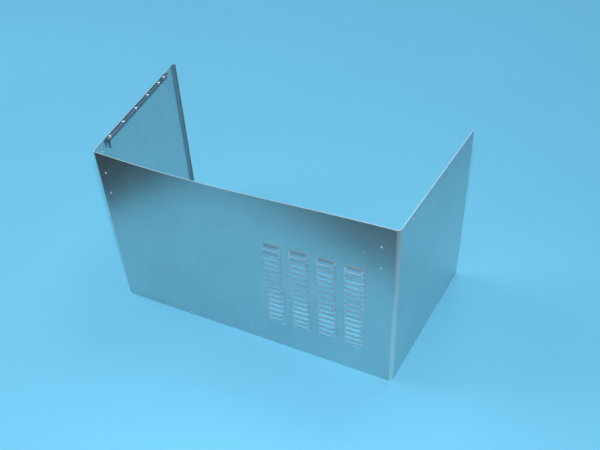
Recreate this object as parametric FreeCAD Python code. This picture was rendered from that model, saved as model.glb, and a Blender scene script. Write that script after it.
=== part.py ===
import FreeCAD, Part
import math
import os

from FreeCAD import Placement, Rotation, Vector

# A U-shaped wrap of an equipment chassis, folded from one sheet: a louvred front, two wings that
# stand slightly open, and a narrow return flange down the back edge of the left wing. A folded
# angle strip under the left wing's top edge, and a short clip behind it, carry small screws.
# Millimetres. The origin is on the floor, in the middle of the front panel and of its sheet.
# X runs along the front panel, Y into the box, Z up.

# The folded sheet. Widths are measured over the outer faces, from corner to corner.
SHEET = 1.5
FRONT_WIDTH = 500.0
HEIGHT = 300.0
LEFT_WING = 305.0
RIGHT_WING = 280.0
LEFT_OPENING = 10.0        # degrees that each wing stands open past square
RIGHT_OPENING = 4.2
BEND_RADIUS = 5.0          # inside the two corner bends
RETURN_FLANGE = 6.5
RETURN_RADIUS = 1.5

# The thin front panel bows out of the box between its corners, most along its top edge.
BOW = 8.0
BOW_START = 1.2            # powers that shape the bow towards the left and the right corner
BOW_END = 2.0
BOW_COLUMNS = 15           # points that its surface passes through, along and up
BOW_ROWS = 6

# Louvres, pressed out of the front, each with its slit along the upper edge.
LOUVRE_COLUMNS = 4
LOUVRE_ROWS = 15
LOUVRE_COLUMN_PITCH = 43.5
LOUVRE_ROW_PITCH = 10.7
LOUVRE_FIELD_RIGHT = 129.0   # from the right corner to the middle of the field
LOUVRE_FIELD_Z = 130.8       # from the floor to the middle of the field
LOUVRE_LENGTH = 27.9
LOUVRE_HEIGHT = 8.4
LOUVRE_DEPTH = 6.0         # from the sheet's face to the same face of the lip
LOUVRE_END_RUN = 3.0       # how far each closed end slopes towards the middle over that depth
LOUVRE_CURL = 16.0         # degrees between the blade's chord and its surface at the lip

# Plain holes. Fixing holes take an M4 screw, pilot holes a small rivet.
FIXING_HOLE = 4.4
PILOT_HOLE = 2.4
FRONT_PAIR_LEFT = 18.0     # from the left corner to the left pair of fixing holes
FRONT_PAIR_RIGHT = 25.0    # from the right corner to the right pair
FRONT_PAIR_BELOW_TOP = 34.0  # upper hole of each pair
FRONT_PAIR_RISE = 38.0     # from the lower hole to the upper one
FOOT_HOLE_Z = 62.5         # single hole under the right pair
EDGE_HOLE_LEFT = 133.0     # single hole at the lower edge, from the left corner
EDGE_HOLE_Z = 5.5
FRONT_PILOTS = ((10.0, 19.0), (200.5, 50.0))    # X, below the top
WING_BACK_HOLE_Z = 147.0
LEFT_BACK_HOLE_EDGE = 15.4  # from the return flange's outer face
RIGHT_BACK_HOLE_EDGE = 5.5  # from the right wing's back edge
WING_TOP_HOLES_LEFT = ((15.7, 5.6), (32.0, 5.6), (294.0, 9.6))   # along the wing, below the top
COVER_HOLE_LEFT = (24.9, 14.0)
COVER_HOLE_RIGHT = (43.5, 7.4)
PILOT_RIGHT = (241.6, 15.0)

# The angle strip and the clip, spot welded to the inside of the left wing.
STRIP_SHEET = 1.2
STRIP_BEND_RADIUS = 0.6
STRIP_LEG = 10.0           # height of the leg that lies on the wing
STRIP_SHELF = 5.4          # width of the shelf that stands into the box
STRIP_DROP = 1.6           # shelf below the wing's top edge, the thickness of a cover sheet
STRIP_START = 44.0         # from the front corner, along the wing
STRIP_LENGTH = 196.0
TAB_DEPTH = 17.0
TAB_HOLE = 2.6
TAB_HOLE_RISE = 3.2
CLIP_GAP = 5.0
CLIP_LENGTH = 26.0
SCREW_COUNT = 5
SCREW_FIRST = 5.6          # from the strip's front end to its first screw
SCREW_PITCH = 46.0
CLIP_SCREW = 10.5          # from the clip's front end to its screw
SCREW_SHANK = 2.5
SCREW_LENGTH = 5.0
SCREW_HEAD = 4.4
SCREW_HEAD_HEIGHT = 1.6
SCREW_RIM = 0.8            # height of the head's straight side, under its domed crown
SCREW_SLOT_WIDTH = 0.6
SCREW_SLOT_DEPTH = 0.6

CLEAR = 2.0                # overrun of cutting bodies past the faces they cut


def straight(length):
    return ("straight", length, 0.0)


def bend(angle, inside_radius):
    return ("bend", angle, inside_radius)


def setback(angle, inside_radius, thickness):
    """Distance from a bend's outer corner to where its flat begins."""
    return (inside_radius + thickness) * math.tan(math.radians(abs(angle)) / 2)


def turned(vector, degrees):
    return Rotation(Vector(0, 0, 1), degrees).multVec(vector)


def sheet_edges(heading, moves, thickness, side):
    """Edges of one face of a sheet that starts at the origin and follows the moves.

    Heading and bends are in degrees, left turns positive. side is +1 for the face on the left of
    the way forward and -1 for the other. The last point is returned with the edges.
    """
    middle = Vector(0, 0, 0)
    edges = []
    for kind, amount, inside_radius in moves:
        forward = turned(Vector(1, 0, 0), heading)
        left = turned(forward, 90)
        start = middle + left * (side * thickness / 2)
        if kind == "straight":
            middle = middle + forward * amount
            edges.append(Part.makeLine(start, start + forward * amount))
            continue
        centre = middle + left * math.copysign(inside_radius + thickness / 2, amount)
        halfway = centre + turned(start - centre, amount / 2)
        end = centre + turned(start - centre, amount)
        edges.append(Part.Arc(start, halfway, end).toShape())
        middle = centre + turned(middle - centre, amount)
        heading += amount
    return edges, edges[-1].Vertexes[-1].Point


def folded_face(halves, thickness):
    """Cross-section of a sheet whose one or two runs both start at the origin."""
    edges = []
    for heading, moves in halves:
        left_edges, left_end = sheet_edges(heading, moves, thickness, 1)
        right_edges, right_end = sheet_edges(heading, moves, thickness, -1)
        edges += left_edges + right_edges + [Part.makeLine(left_end, right_end)]
    if len(halves) == 1:
        across = turned(Vector(0, thickness / 2, 0), halves[0][0])
        edges.append(Part.makeLine(across, -across))
    return Part.Face(Part.Wire(Part.__sortEdges__(edges)))


def panel_ends():
    """Where the front panel's flat begins and ends, along X."""
    left_setback = setback(90 - LEFT_OPENING, BEND_RADIUS, SHEET)
    right_setback = setback(90 - RIGHT_OPENING, BEND_RADIUS, SHEET)
    return left_setback - FRONT_WIDTH / 2, FRONT_WIDTH / 2 - right_setback


def bow_at(x, z):
    """How far the front panel stands out of its corners' plane there."""
    left, right = panel_ends()
    share = min(max((x - left) / (right - left), 0), 1)
    peak = BOW_START / (BOW_START + BOW_END)
    highest = peak ** BOW_START * (1 - peak) ** BOW_END
    across = share ** BOW_START * (1 - share) ** BOW_END / highest
    return BOW * across * (z / HEIGHT) ** 2


def bowed_panel():
    """Drawn a little past its lower and upper edges, then cut square to them."""
    left, right = panel_ends()
    drawn = HEIGHT + 2 * CLEAR
    heights = [drawn * row / (BOW_ROWS - 1) - CLEAR for row in range(BOW_ROWS)]
    grid = []
    for column in range(BOW_COLUMNS):
        x = left + (right - left) * column / (BOW_COLUMNS - 1)
        grid.append([Vector(x, -SHEET / 2 - bow_at(x, z), z) for z in heights])
    surface = Part.BSplineSurface()
    surface.interpolate(grid)
    panel = Part.Face(surface).extrude(Vector(0, SHEET, 0))
    deep = BOW + SHEET + CLEAR
    return panel.common(Part.makeBox(FRONT_WIDTH, 2 * deep, HEIGHT, Vector(-FRONT_WIDTH / 2, -deep, 0)))


def folded_side(turn, moves):
    """A corner bend and its wing, from the panel's end; turn is +1 to the right, -1 to the left."""
    left, right = panel_ends()
    heading, start = (0, right) if turn > 0 else (180, left)
    side = folded_face(((heading, moves),), SHEET).extrude(Vector(0, 0, HEIGHT))
    side.translate(Vector(start, 0, 0))
    return side


def folded_wrap():
    left_turn = 90 - LEFT_OPENING
    right_turn = 90 - RIGHT_OPENING
    flange_setback = setback(90, RETURN_RADIUS, SHEET)
    to_the_right = (
        bend(right_turn, BEND_RADIUS),
        straight(RIGHT_WING - setback(right_turn, BEND_RADIUS, SHEET)),
    )
    to_the_left = (
        bend(-left_turn, BEND_RADIUS),
        straight(LEFT_WING - setback(left_turn, BEND_RADIUS, SHEET) - flange_setback),
        bend(-90, RETURN_RADIUS),
        straight(RETURN_FLANGE - flange_setback),
    )
    return bowed_panel().fuse([folded_side(1, to_the_right), folded_side(-1, to_the_left)])


def louvre_ends(growth):
    """Prism with the louvre's plan: its two ends slope together as the blade goes deeper."""
    slope = LOUVRE_END_RUN / LOUVRE_DEPTH
    widening = growth * math.hypot(1, slope)

    def half_length(depth):
        return LOUVRE_LENGTH / 2 + widening - slope * depth

    near = -CLEAR
    far = LOUVRE_DEPTH + SHEET + CLEAR
    corners = []
    for depth, sign in ((near, -1), (near, 1), (far, 1), (far, -1)):
        corners.append(Vector(sign * half_length(depth), depth - SHEET / 2, -LOUVRE_HEIGHT))
    corners.append(corners[0])
    return Part.Face(Part.makePolygon(corners)).extrude(Vector(0, 0, 2 * LOUVRE_HEIGHT))


def louvre_body(growth, from_y):
    """Space under a blade's surface, behind from_y and above the slit's level.

    It is drawn pressed backwards, with its slit below.
    """
    chord_lean = math.atan2(LOUVRE_DEPTH, LOUVRE_HEIGHT)
    lip_lean = chord_lean - math.radians(LOUVRE_CURL)
    radius = math.hypot(LOUVRE_DEPTH, LOUVRE_HEIGHT) / (2 * math.sin(math.radians(LOUVRE_CURL)))
    centre_y = LOUVRE_DEPTH - SHEET / 2 - radius * math.cos(lip_lean)
    centre_z = -LOUVRE_HEIGHT / 2 - radius * math.sin(lip_lean)
    width = LOUVRE_LENGTH + 2 * CLEAR + 2 * SHEET
    roll = Part.makeCylinder(radius + growth, width, Vector(-width / 2, centre_y, centre_z), Vector(1, 0, 0))
    behind = Part.makeBox(width, radius * 2, radius * 2, Vector(-width / 2, from_y, -LOUVRE_HEIGHT / 2))
    return roll.common(behind).common(louvre_ends(growth))


def louvre_places():
    """Frames on the bowed panel, turned so that blades point out of the box and slits face up."""
    outwards = Rotation(Vector(1, 0, 0), 180)
    middle_x = FRONT_WIDTH / 2 - LOUVRE_FIELD_RIGHT
    places = []
    for column in range(LOUVRE_COLUMNS):
        x = middle_x + (column - (LOUVRE_COLUMNS - 1) / 2) * LOUVRE_COLUMN_PITCH
        for row in range(LOUVRE_ROWS):
            z = LOUVRE_FIELD_Z + (row - (LOUVRE_ROWS - 1) / 2) * LOUVRE_ROW_PITCH
            yaw = math.degrees(math.atan(bow_at(x - 0.5, z) - bow_at(x + 0.5, z)))
            pitch = math.degrees(math.atan(bow_at(x, z + 0.5) - bow_at(x, z - 0.5)))
            lie = Rotation(Vector(0, 0, 1), yaw).multiply(Rotation(Vector(1, 0, 0), pitch))
            places.append(Placement(Vector(x, -bow_at(x, z), z), lie.multiply(outwards)))
    return places


def moved(shape, offset):
    copy = shape.copy()
    copy.translate(offset)
    return copy


def left_wing_frame():
    """X into the box from the wing's outer face, Y back along the wing, Z up."""
    return Placement(Vector(-FRONT_WIDTH / 2, -SHEET / 2, 0), Rotation(Vector(0, 0, 1), LEFT_OPENING))


def right_wing_frame():
    """X out of the box from the wing's outer face, Y back along the wing, Z up."""
    return Placement(Vector(FRONT_WIDTH / 2, -SHEET / 2, 0), Rotation(Vector(0, 0, 1), -RIGHT_OPENING))


def placed(shape, frame):
    copy = shape.copy()
    copy.Placement = frame.multiply(copy.Placement)
    return copy


def hole_through_front(diameter, x, z):
    outside = Vector(x, -bow_at(x, z) - SHEET / 2 - CLEAR, z)
    return Part.makeCylinder(diameter / 2, SHEET + 2 * CLEAR, outside, Vector(0, 1, 0))


def hole_through_wing(diameter, along, z, frame):
    """A wing's sheet lies within one thickness of its frame's X origin, on either side."""
    hole = Part.makeCylinder(diameter / 2, 2 * SHEET + 2 * CLEAR, Vector(-SHEET - CLEAR, along, z), Vector(1, 0, 0))
    return placed(hole, frame)


def front_holes():
    left_x = -FRONT_WIDTH / 2 + FRONT_PAIR_LEFT
    right_x = FRONT_WIDTH / 2 - FRONT_PAIR_RIGHT
    holes = []
    upper_z = HEIGHT - FRONT_PAIR_BELOW_TOP
    for x in (left_x, right_x):
        for z in (upper_z - FRONT_PAIR_RISE, upper_z):
            holes.append(hole_through_front(FIXING_HOLE, x, z))
    holes.append(hole_through_front(FIXING_HOLE, right_x, FOOT_HOLE_Z))
    holes.append(hole_through_front(FIXING_HOLE, EDGE_HOLE_LEFT - FRONT_WIDTH / 2, EDGE_HOLE_Z))
    for x, below_top in FRONT_PILOTS:
        holes.append(hole_through_front(PILOT_HOLE, x, HEIGHT - below_top))
    return holes


def wing_holes():
    left = left_wing_frame()
    right = right_wing_frame()
    left_back = LEFT_WING - LEFT_BACK_HOLE_EDGE
    right_back = RIGHT_WING - RIGHT_BACK_HOLE_EDGE
    holes = [
        hole_through_wing(FIXING_HOLE, left_back, WING_BACK_HOLE_Z, left),
        hole_through_wing(FIXING_HOLE, right_back, WING_BACK_HOLE_Z, right),
        hole_through_wing(FIXING_HOLE, COVER_HOLE_LEFT[0], HEIGHT - COVER_HOLE_LEFT[1], left),
        hole_through_wing(FIXING_HOLE, COVER_HOLE_RIGHT[0], HEIGHT - COVER_HOLE_RIGHT[1], right),
        hole_through_wing(PILOT_HOLE, PILOT_RIGHT[0], HEIGHT - PILOT_RIGHT[1], right),
    ]
    for along, below_top in WING_TOP_HOLES_LEFT:
        holes.append(hole_through_wing(PILOT_HOLE, along, HEIGHT - below_top, left))
    return holes


def build_wrap():
    blade = louvre_body(SHEET, 0)
    space = louvre_body(0, -SHEET / 2 - CLEAR)
    places = louvre_places()
    sheet = folded_wrap().fuse([placed(blade, place) for place in places])
    spaces = [placed(space, place) for place in places]
    return sheet.cut(spaces + front_holes() + wing_holes()).removeSplitter()


def angle_bar(length):
    """An angle standing on the wing's inner face, its shelf's top at the strip's level.

    It runs along Y from 0, with X measured from the wing's outer face.
    """
    corner = setback(90, STRIP_BEND_RADIUS, STRIP_SHEET)
    moves = (
        straight(STRIP_LEG - corner),
        bend(-90, STRIP_BEND_RADIUS),
        straight(STRIP_SHELF - corner),
    )
    section = folded_face(((90, moves),), STRIP_SHEET)
    bar = section.extrude(Vector(0, 0, length))
    bar.rotate(Vector(0, 0, 0), Vector(1, 0, 0), 90)
    bar.translate(Vector(SHEET + STRIP_SHEET / 2, length, HEIGHT - STRIP_DROP - STRIP_LEG))
    return bar


def end_tab():
    """The shelf's front end, folded down across the wing, with its hole."""
    corner = setback(90, STRIP_BEND_RADIUS, STRIP_SHEET)
    moves = (
        straight(TAB_DEPTH - corner),
        bend(-90, STRIP_BEND_RADIUS),
    )
    section = folded_face(((90, moves),), STRIP_SHEET)
    inner_x = SHEET + STRIP_SHEET + STRIP_BEND_RADIUS
    width = SHEET + STRIP_SHELF - inner_x
    tab = section.extrude(Vector(0, 0, width))
    tab.rotate(Vector(0, 0, 0), Vector(1, 0, 0), 90)
    tab.rotate(Vector(0, 0, 0), Vector(0, 0, 1), 90)
    tab.translate(Vector(inner_x, STRIP_SHEET / 2 - corner, HEIGHT - STRIP_DROP - TAB_DEPTH))
    hole_x = inner_x + width / 2
    hole_z = HEIGHT - STRIP_DROP - TAB_DEPTH + TAB_HOLE_RISE
    hole = Part.makeCylinder(TAB_HOLE / 2, 4 * CLEAR, Vector(hole_x, -2 * CLEAR, hole_z), Vector(0, 1, 0))
    return tab.cut(hole)


def shelf_hole_x():
    return SHEET + (STRIP_SHELF + STRIP_SHEET) / 2


def screw_hole(along):
    top = HEIGHT - STRIP_DROP
    return Part.makeCylinder(
        SCREW_SHANK / 2, STRIP_SHEET + 2 * CLEAR, Vector(shelf_hole_x(), along, top - STRIP_SHEET - CLEAR)
    )


def strip_screw_places():
    return [SCREW_FIRST + count * SCREW_PITCH for count in range(SCREW_COUNT)]


def build_strip():
    strip = angle_bar(STRIP_LENGTH).fuse(end_tab())
    strip = strip.cut([screw_hole(along) for along in strip_screw_places()]).removeSplitter()
    return placed(moved(strip, Vector(0, STRIP_START, 0)), left_wing_frame())


def build_clip():
    clip = angle_bar(CLIP_LENGTH).cut(screw_hole(CLIP_SCREW))
    start = STRIP_START + STRIP_LENGTH + CLIP_GAP
    return placed(moved(clip, Vector(0, start, 0)), left_wing_frame())


def screw():
    """Pan-head screw with a slot, its head's underside at Z 0."""
    crown_rise = SCREW_HEAD_HEIGHT - SCREW_RIM
    dome_radius = (SCREW_HEAD ** 2 / 4 + crown_rise ** 2) / (2 * crown_rise)
    half_way = math.asin(SCREW_HEAD / 2 / dome_radius) / 2
    dome_centre = Vector(0, 0, SCREW_HEAD_HEIGHT - dome_radius)
    crown = Part.Arc(
        Vector(0, 0, SCREW_HEAD_HEIGHT),
        dome_centre + Vector(math.sin(half_way), 0, math.cos(half_way)) * dome_radius,
        Vector(SCREW_HEAD / 2, 0, SCREW_RIM),
    )
    outline = [
        crown.toShape(),
        Part.makeLine(Vector(SCREW_HEAD / 2, 0, SCREW_RIM), Vector(SCREW_HEAD / 2, 0, 0)),
        Part.makeLine(Vector(SCREW_HEAD / 2, 0, 0), Vector(SCREW_SHANK / 2, 0, 0)),
        Part.makeLine(Vector(SCREW_SHANK / 2, 0, 0), Vector(SCREW_SHANK / 2, 0, -SCREW_LENGTH)),
        Part.makeLine(Vector(SCREW_SHANK / 2, 0, -SCREW_LENGTH), Vector(0, 0, -SCREW_LENGTH)),
        Part.makeLine(Vector(0, 0, -SCREW_LENGTH), Vector(0, 0, SCREW_HEAD_HEIGHT)),
    ]
    body = Part.Face(Part.Wire(outline)).revolve(Vector(0, 0, 0), Vector(0, 0, 1), 360)
    slot = Part.makeBox(
        SCREW_HEAD + CLEAR,
        SCREW_SLOT_WIDTH,
        CLEAR,
        Vector(-(SCREW_HEAD + CLEAR) / 2, -SCREW_SLOT_WIDTH / 2, SCREW_HEAD_HEIGHT - SCREW_SLOT_DEPTH),
    )
    return body.cut(slot)


def build_screws():
    clip_start = STRIP_START + STRIP_LENGTH + CLIP_GAP
    stations = [STRIP_START + along for along in strip_screw_places()] + [clip_start + CLIP_SCREW]
    top = HEIGHT - STRIP_DROP
    one = screw()
    return Part.makeCompound(
        [placed(moved(one, Vector(shelf_hole_x(), along, top)), left_wing_frame()) for along in stations]
    )


os.makedirs("parts", exist_ok=True)
nodes = {
    "folded_wrap": build_wrap(),
    "angle_strip": build_strip(),
    "end_clip": build_clip(),
    "strip_screws": build_screws(),
}
for name, shape in nodes.items():
    shape.exportStep(f"parts/{name}.step")
    print(name, "solids", len(shape.Solids), "valid", shape.isValid(), "volume", round(shape.Volume, 1))
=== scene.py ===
import math

import bpy
from mathutils import Matrix, Vector

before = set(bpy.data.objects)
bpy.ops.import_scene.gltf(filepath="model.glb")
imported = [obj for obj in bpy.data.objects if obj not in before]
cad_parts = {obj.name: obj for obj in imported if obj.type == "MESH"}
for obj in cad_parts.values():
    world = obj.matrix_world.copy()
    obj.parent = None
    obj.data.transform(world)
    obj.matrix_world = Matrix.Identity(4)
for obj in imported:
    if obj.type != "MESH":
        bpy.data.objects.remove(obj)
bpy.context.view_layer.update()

# A bare sheet metal wrap of an equipment chassis, standing on a pale blue cloth. Metres, with the
# origin on the floor in the middle of the front panel. X runs along the front, Y into the box.

# The camera: where it stands, and how far it is turned, raised and rolled, in degrees.
CAMERA_PLACE = Vector((0.46723, -0.68890, 0.88820))
CAMERA_AZIMUTH = 27.7815
CAMERA_ELEVATION = 38.6696
CAMERA_ROLL = -3.0727
SENSOR = 36.0              # millimetres, as the lens is
LENS = 43.006
NEAREST_SEEN = 0.01

# The cloth's corners: front left, front right, back right and back left. The square table top
# under it lies a little lower.
CLOTH_CORNERS = ((-0.259, -0.373), (0.717, -0.074), (0.141, 3.465), (-2.740, 1.948))
TABLE_HALF_SIDE = 12.0
TABLE_HEIGHT = -0.002

# Where the sheet's finish changes, and where the painted highlight on the bends and the painted
# light on the louvre field lie. Each pair is where a soft border begins and where it ends.
CORNER_X = 0.250                           # from the middle of the front to the outside of a bend
BEND_ALONG_FRONT = (CORNER_X - 0.0060, CORNER_X - 0.0035)
BEND_ALONG_WING = (0.004, 0.008)
LOUVRE_COLUMN_X = 0.14275                  # the middle of one column of louvres
LOUVRE_COLUMN_PITCH = 0.0435
LOUVRE_FIELD_X = 0.121
LOUVRE_FIELD_Z = 0.1308
LOUVRE_HALF_WIDTH = (0.0135, 0.0155)
LOUVRE_FIELD_HALF_WIDTH = (0.080, 0.082)
LOUVRE_FIELD_HALF_HEIGHT = (0.078, 0.082)
FACING_UP = (0.7, 0.95)                    # of a normal's upward part, for cut edges

# Colours, as linear red, green and blue.
SHEET_DULL = (0.610, 0.618, 0.610)
SHEET_CLEAN = (0.660, 0.668, 0.660)
SCRATCHED_SHEET = (0.85, 0.85, 0.84)
# painted light: a paler, bluer colour over the louvre field that lifts the shade in and between the
# louvres
LOUVRE_PAINTED_LIGHT = (0.84, 0.89, 0.92)
# painted highlight: a pale pinkish band down the outside of each bend
BEND_PAINTED_HIGHLIGHT = (0.86, 0.80, 0.77)
CUT_EDGE = (0.58, 0.64, 0.67)
# painted shade: the strip's dark tones stand in for the shadow and dim reflections on it
STRIP_DARK = (0.22, 0.25, 0.28)
STRIP_LIGHT = (0.32, 0.35, 0.38)
SCREW_DULL = (0.72, 0.73, 0.74)
SCREW_BRIGHT = (0.86, 0.87, 0.88)
CLOTH_BLUES = ((0.166, 0.550, 0.796), (0.182, 0.580, 0.830))
# painted shade: the table top's dark greys stand in for the dim, unlit floor around the cloth that
# the metal reflects
TABLE_PAINTED_SHADE = ((0.034, 0.048, 0.056), (0.044, 0.060, 0.070))
ROOM_LIGHT = (0.235, 0.285, 0.325)
ROOM_PAINTED_REFLECTION = (0.16, 0.38, 0.52)         # painted reflection: the pale blue room that only glossy rays see

# Each light's place, what it points at, its size and its watts.
SOFT_LEFT = ((-1.9, 0.1, 1.8), (0, 0.6, 0), 2.0, 25)
SOFT_BACK = ((0.3, 1.8, 3.1), (0.5, 1.8, 0), 1.8, 38)
LAMP_RISE = 0.067                          # from the lens to the small lamp above it
LAMP = ((0, 0.2, 0.1), 0.02, 8.5)          # what it points at, its size and its watts


class Amount:
    """One number over a surface, from a socket of a node tree."""

    def __init__(self, nodes, socket):
        self.nodes = nodes
        self.socket = socket

    def joined(self, operation, first, second):
        return self.nodes.amount("ShaderNodeMath", {"operation": operation}, {0: first, 1: second})

    def __add__(self, other):
        return self.joined("ADD", self, other)

    __radd__ = __add__

    def __sub__(self, other):
        return self.joined("SUBTRACT", self, other)

    def __rsub__(self, other):
        return self.joined("SUBTRACT", other, self)

    def __mul__(self, other):
        return self.joined("MULTIPLY", self, other)

    __rmul__ = __mul__

    def distance_from(self, other):
        """How far it is from another amount, never below 0."""
        return self.nodes.amount("ShaderNodeMath", {"operation": "ABSOLUTE"}, {0: self - other})

    def from_nearest(self, first, pitch):
        """The distance from the nearest of a row of points, one of which is first."""
        return self.joined("PINGPONG", self - first, pitch / 2)

    def or_more(self, other):
        """The larger of the two."""
        return self.joined("MAXIMUM", self, other)


class Nodes:
    """The nodes of a material or of the world, around its one shader."""

    def __init__(self, owner, shader):
        owner.use_nodes = True
        self.tree = owner.node_tree
        self.shader = self.tree.nodes[shader]

    def node(self, kind, settings=None, sockets=None):
        made = self.tree.nodes.new(kind)
        for name, value in (settings or {}).items():
            setattr(made, name, value)
        for name, value in (sockets or {}).items():
            if isinstance(value, Amount):
                value = value.socket
            if isinstance(value, bpy.types.NodeSocket):
                self.tree.links.new(value, made.inputs[name])
            else:
                made.inputs[name].default_value = value
        return made

    def amount(self, kind, settings=None, sockets=None, output=0):
        return Amount(self, self.node(kind, settings, sockets).outputs[output])

    def feed(self, socket, value):
        if isinstance(value, Amount):
            value = value.socket
        self.tree.links.new(value, self.shader.inputs[socket])

    def blend(self, share, first, second):
        """The first colour where share is 0, the second where it is 1."""
        sockets = {0: share, 6: opaque(first), 7: opaque(second)}
        return self.node("ShaderNodeMix", {"data_type": "RGBA"}, sockets).outputs[2]


class Finish(Nodes):
    """A material whose even properties are set on its shader's own sockets."""

    def __init__(self, name, **even):
        self.material = bpy.data.materials.new(name)
        super().__init__(self.material, "Principled BSDF")
        for socket, value in even.items():
            self.shader.inputs[socket.replace("_", " ")].default_value = value
        coordinates = self.node("ShaderNodeTexCoord")
        self.place = coordinates.outputs["Object"]
        self.facing = coordinates.outputs["Normal"]

    def stretched(self, x, y, z):
        """Object coordinates scaled along each axis, for a pattern that runs one way."""
        sockets = {"Vector": self.place, "Scale": (x, y, z)}
        return self.node("ShaderNodeMapping", sockets=sockets).outputs[0]

    def noise(self, vector, scale, detail=2.0, roughness=0.5):
        """Soft noise about a half, from 0 to 1."""
        sockets = {"Vector": vector, "Scale": scale, "Detail": detail, "Roughness": roughness}
        return self.amount("ShaderNodeTexNoise", sockets=sockets)

    def along(self, vector, axis):
        """One of a vector's parts: 0 for X, 1 for Y and 2 for Z."""
        return self.amount("ShaderNodeSeparateXYZ", sockets={0: vector}, output=axis)

    def ramp(self, value, low, high):
        """0 below low, 1 above high and a smooth step between."""
        settings = {"interpolation_type": "SMOOTHSTEP"}
        sockets = {"Value": value, "From Min": low, "From Max": high}
        return self.amount("ShaderNodeMapRange", settings, sockets)

    def bumped(self, height, strength, distance):
        sockets = {"Height": height, "Strength": strength, "Distance": distance}
        return self.node("ShaderNodeBump", sockets=sockets).outputs[0]


def opaque(tone):
    """A colour with its alpha, or a socket as it is."""
    return tone if isinstance(tone, bpy.types.NodeSocket) else (*tone, 1.0)


def sheet_metal():
    """Satin zinc-plated sheet: a fine rolled grain, faint smudges and scratches, rougher cut edges,
    a painted highlight down the bends, and painted light that brightens the louvre field against
    its shade."""
    finish = Finish("satin_zinc_sheet", Metallic=1.0)
    across, inwards, up = [finish.along(finish.place, axis) for axis in range(3)]

    grain = finish.noise(finish.stretched(20, 20, 900), 1.0, 3.0)
    smudges = finish.noise(finish.place, 9.0, 4.0, 0.6)
    scratches = finish.ramp(finish.noise(finish.stretched(260, 260, 9), 1.0, 1.0), 0.70, 0.78)
    cut = finish.ramp(finish.along(finish.facing, 2), *FACING_UP)

    # painted light over the louvre field, lifting the shade in and between the louvres
    from_column = across.from_nearest(LOUVRE_COLUMN_X, LOUVRE_COLUMN_PITCH)
    between = finish.ramp(from_column, *LOUVRE_HALF_WIDTH)
    beside = finish.ramp(across.distance_from(LOUVRE_FIELD_X), *LOUVRE_FIELD_HALF_WIDTH)
    above_or_below = finish.ramp(up.distance_from(LOUVRE_FIELD_Z), *LOUVRE_FIELD_HALF_HEIGHT)
    painted_louvre_light = 1 - between.or_more(beside.or_more(above_or_below))

    # painted highlight down the outside of each bend; the added roughness there is the sheet's own
    at_corner = finish.ramp(across.distance_from(0), *BEND_ALONG_FRONT)
    bend_highlight_band = at_corner * (1 - finish.ramp(inwards, *BEND_ALONG_WING))

    tone = finish.blend(finish.ramp(smudges, 0.35, 0.7), SHEET_DULL, SHEET_CLEAN)
    tone = finish.blend(scratches * 0.25, tone, SCRATCHED_SHEET)
    tone = finish.blend(painted_louvre_light, tone, LOUVRE_PAINTED_LIGHT)
    tone = finish.blend(bend_highlight_band, tone, BEND_PAINTED_HIGHLIGHT)
    finish.feed("Base Color", finish.blend(cut, tone, CUT_EDGE))
    handled = (grain - 0.5) * 0.08 + (smudges - 0.5) * 0.08
    finish.feed("Roughness", 0.30 + handled + cut * 0.25 + bend_highlight_band * 0.2)
    finish.feed("Normal", finish.bumped(grain, 0.12, 0.0004))
    return finish.material


def strip_metal():
    """Duller plating on the angle strip and its clip, mottled, and darkened with painted shade."""
    finish = Finish("dull_zinc_strip_painted_shade", Metallic=1.0)
    mottle = finish.noise(finish.place, 160.0, 3.0)
    finish.feed("Base Color", finish.blend(mottle, STRIP_DARK, STRIP_LIGHT))
    finish.feed("Roughness", 0.42 + (mottle - 0.5) * 0.2)
    finish.feed("Normal", finish.bumped(mottle, 0.1, 0.0003))
    return finish.material


def screw_metal():
    """Bright plating, a little spotted."""
    finish = Finish("bright_plated_screws", Metallic=1.0)
    spots = finish.noise(finish.place, 900.0, 2.0)
    finish.feed("Base Color", finish.blend(spots, SCREW_DULL, SCREW_BRIGHT))
    finish.feed("Roughness", 0.2 + spots * 0.15)
    return finish.material


def dress(node, material):
    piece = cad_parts[node]
    piece.data.materials.clear()
    piece.data.materials.append(material)


def lay_ground(name, corners, height, tones):
    """A flat piece of ground, mottled with two close colours."""
    mesh = bpy.data.meshes.new(name)
    mesh.from_pydata([(x, y, height) for x, y in corners], [], [(0, 1, 2, 3)])
    ground = bpy.data.objects.new(name, mesh)
    bpy.context.collection.objects.link(ground)
    finish = Finish(name + "_finish", Roughness=0.75, Specular_IOR_Level=0.15)
    finish.feed("Base Color", finish.blend(finish.noise(finish.place, 2.5), *tones))
    mesh.materials.append(finish.material)


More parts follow.
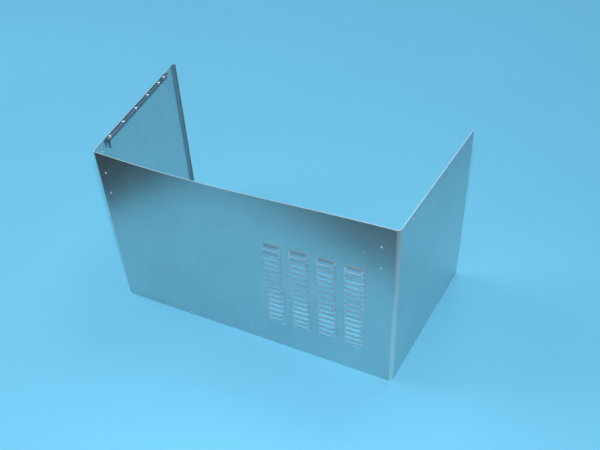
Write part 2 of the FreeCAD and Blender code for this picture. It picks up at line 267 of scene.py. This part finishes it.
def lay_floor():
    """A pale blue cloth on a dark table top, whose dark colour is painted shade for the unlit floor
    around the cloth.
    """
    side = TABLE_HALF_SIDE
    table_corners = ((-side, -side), (side, -side), (side, side), (-side, side))
    lay_ground("cloth", CLOTH_CORNERS, 0.0, CLOTH_BLUES)
    lay_ground("table_top", table_corners, TABLE_HEIGHT, TABLE_PAINTED_SHADE)


def area_light(name, place, target, size, power):
    lamp = bpy.data.lights.new(name, "AREA")
    lamp.size = size
    lamp.energy = power
    light = bpy.data.objects.new(name, lamp)
    light.location = place
    light.rotation_euler = (Vector(target) - Vector(place)).to_track_quat("-Z", "Y").to_euler()
    bpy.context.collection.objects.link(light)


def light_scene():
    """A dim room, whose pale blue in the metal is a painted reflection that only glossy rays see,
    two soft lights and a small lamp over the camera, which shines through the louvres."""
    world = bpy.data.worlds.new("room")
    room = Nodes(world, "Background")
    # painted reflection: glossy rays see a pale blue room that the camera and diffuse light never
    # see
    reflected = room.node("ShaderNodeLightPath").outputs["Is Glossy Ray"]
    room.feed("Color", room.blend(reflected, ROOM_LIGHT, ROOM_PAINTED_REFLECTION))
    bpy.context.scene.world = world

    area_light("soft_left", *SOFT_LEFT)
    area_light("soft_back", *SOFT_BACK)
    up = camera_axes()[1]
    area_light("lamp_over_camera", CAMERA_PLACE + up * LAMP_RISE, *LAMP)


def camera_axes():
    """The camera's right, its up and the way back from what it looks at."""
    turn = math.radians(CAMERA_AZIMUTH)
    lift = math.radians(CAMERA_ELEVATION)
    roll = math.radians(CAMERA_ROLL)
    level_back = Vector((math.sin(turn), -math.cos(turn), 0))
    back = level_back * math.cos(lift) + Vector((0, 0, math.sin(lift)))
    level = Vector((math.cos(turn), math.sin(turn), 0))
    upright = back.cross(level)
    right = level * math.cos(roll) + upright * math.sin(roll)
    up = upright * math.cos(roll) - level * math.sin(roll)
    return right, up, back


def aim_camera():
    lens = bpy.data.cameras.new("camera")
    lens.sensor_width = SENSOR
    lens.lens = LENS
    lens.clip_start = NEAREST_SEEN
    camera = bpy.data.objects.new("camera", lens)
    turned = Matrix(camera_axes()).transposed().to_4x4()
    camera.matrix_world = Matrix.Translation(CAMERA_PLACE) @ turned
    bpy.context.collection.objects.link(camera)
    bpy.context.scene.camera = camera


dress("folded_wrap", sheet_metal())
dress("angle_strip", strip_metal())
dress("end_clip", strip_metal())
dress("strip_screws", screw_metal())
lay_floor()
light_scene()
aim_camera()
bpy.context.scene.view_settings.view_transform = "Standard"
